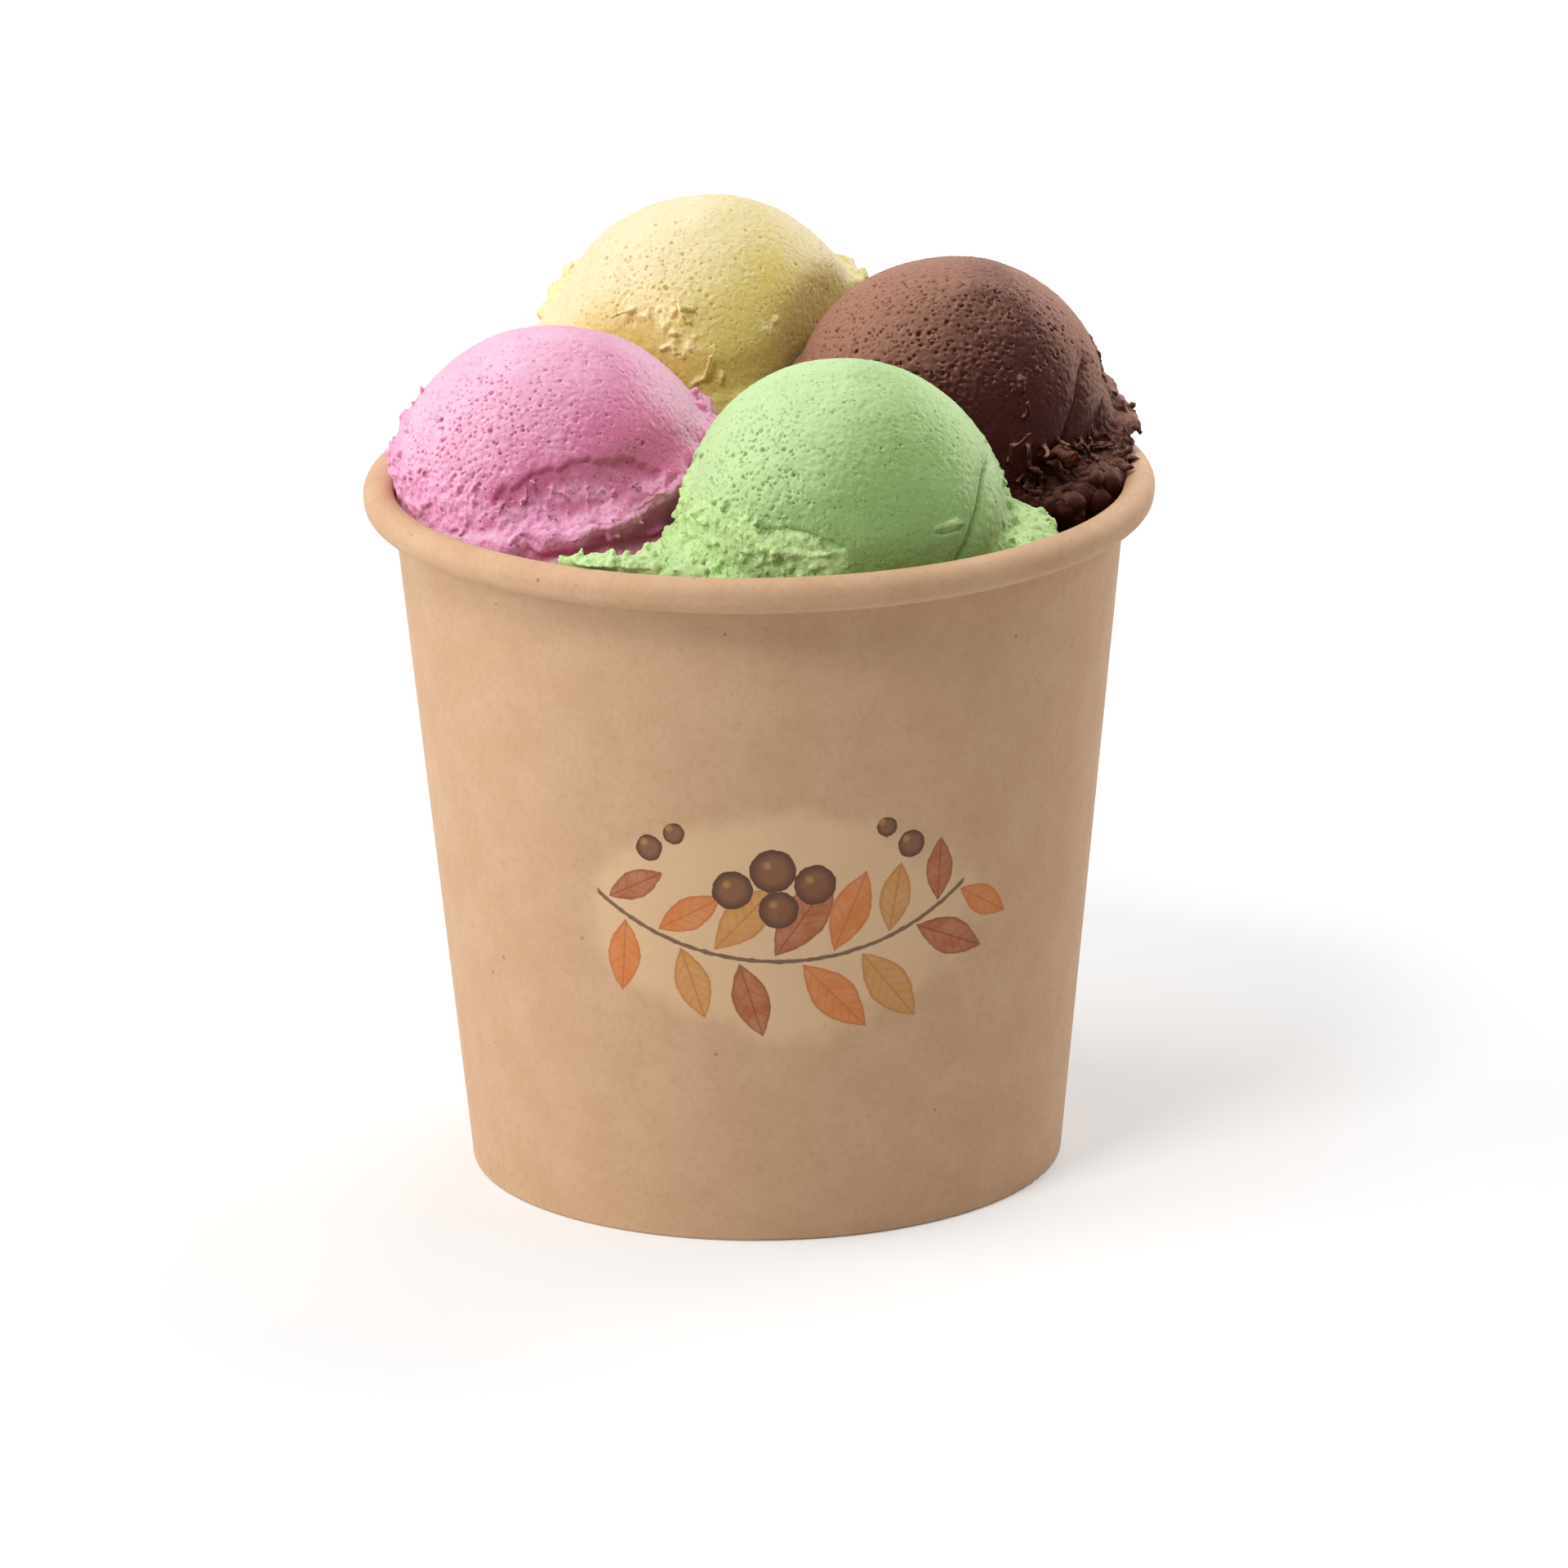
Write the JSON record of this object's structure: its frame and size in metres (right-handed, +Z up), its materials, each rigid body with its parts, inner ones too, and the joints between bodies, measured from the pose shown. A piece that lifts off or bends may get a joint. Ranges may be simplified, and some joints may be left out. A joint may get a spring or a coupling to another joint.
{
  "type": "paper ice cream cup",
  "caption": "Tapered paper tub with a rolled rim, packed with ice cream and topped by leaning scooped domes with ragged skirts.",
  "frame": {"origin": "centre of the cup's foot, on the surface it stands on", "axes": "+Z up; -Y towards the viewer's side of the cup, where the print is; the side seam is on +Y; +X to the viewer's right"},
  "size_m": [0.118, 0.118, 0.1397],
  "materials": {
    "cup_wall": "matte",
    "cup_base": "matte",
    "scoop_strawberry": "matte",
    "scoop_pistachio": "matte",
    "scoop_vanilla": "matte",
    "scoop_chocolate": "matte"
  },
  "bodies": {
    "root": {"cup_wall": "cup_wall", "cup_base": "cup_base", "scoop_strawberry": "scoop_strawberry", "scoop_pistachio": "scoop_pistachio", "scoop_vanilla": "scoop_vanilla", "scoop_chocolate": "scoop_chocolate"}
  },
  "joints": []
}
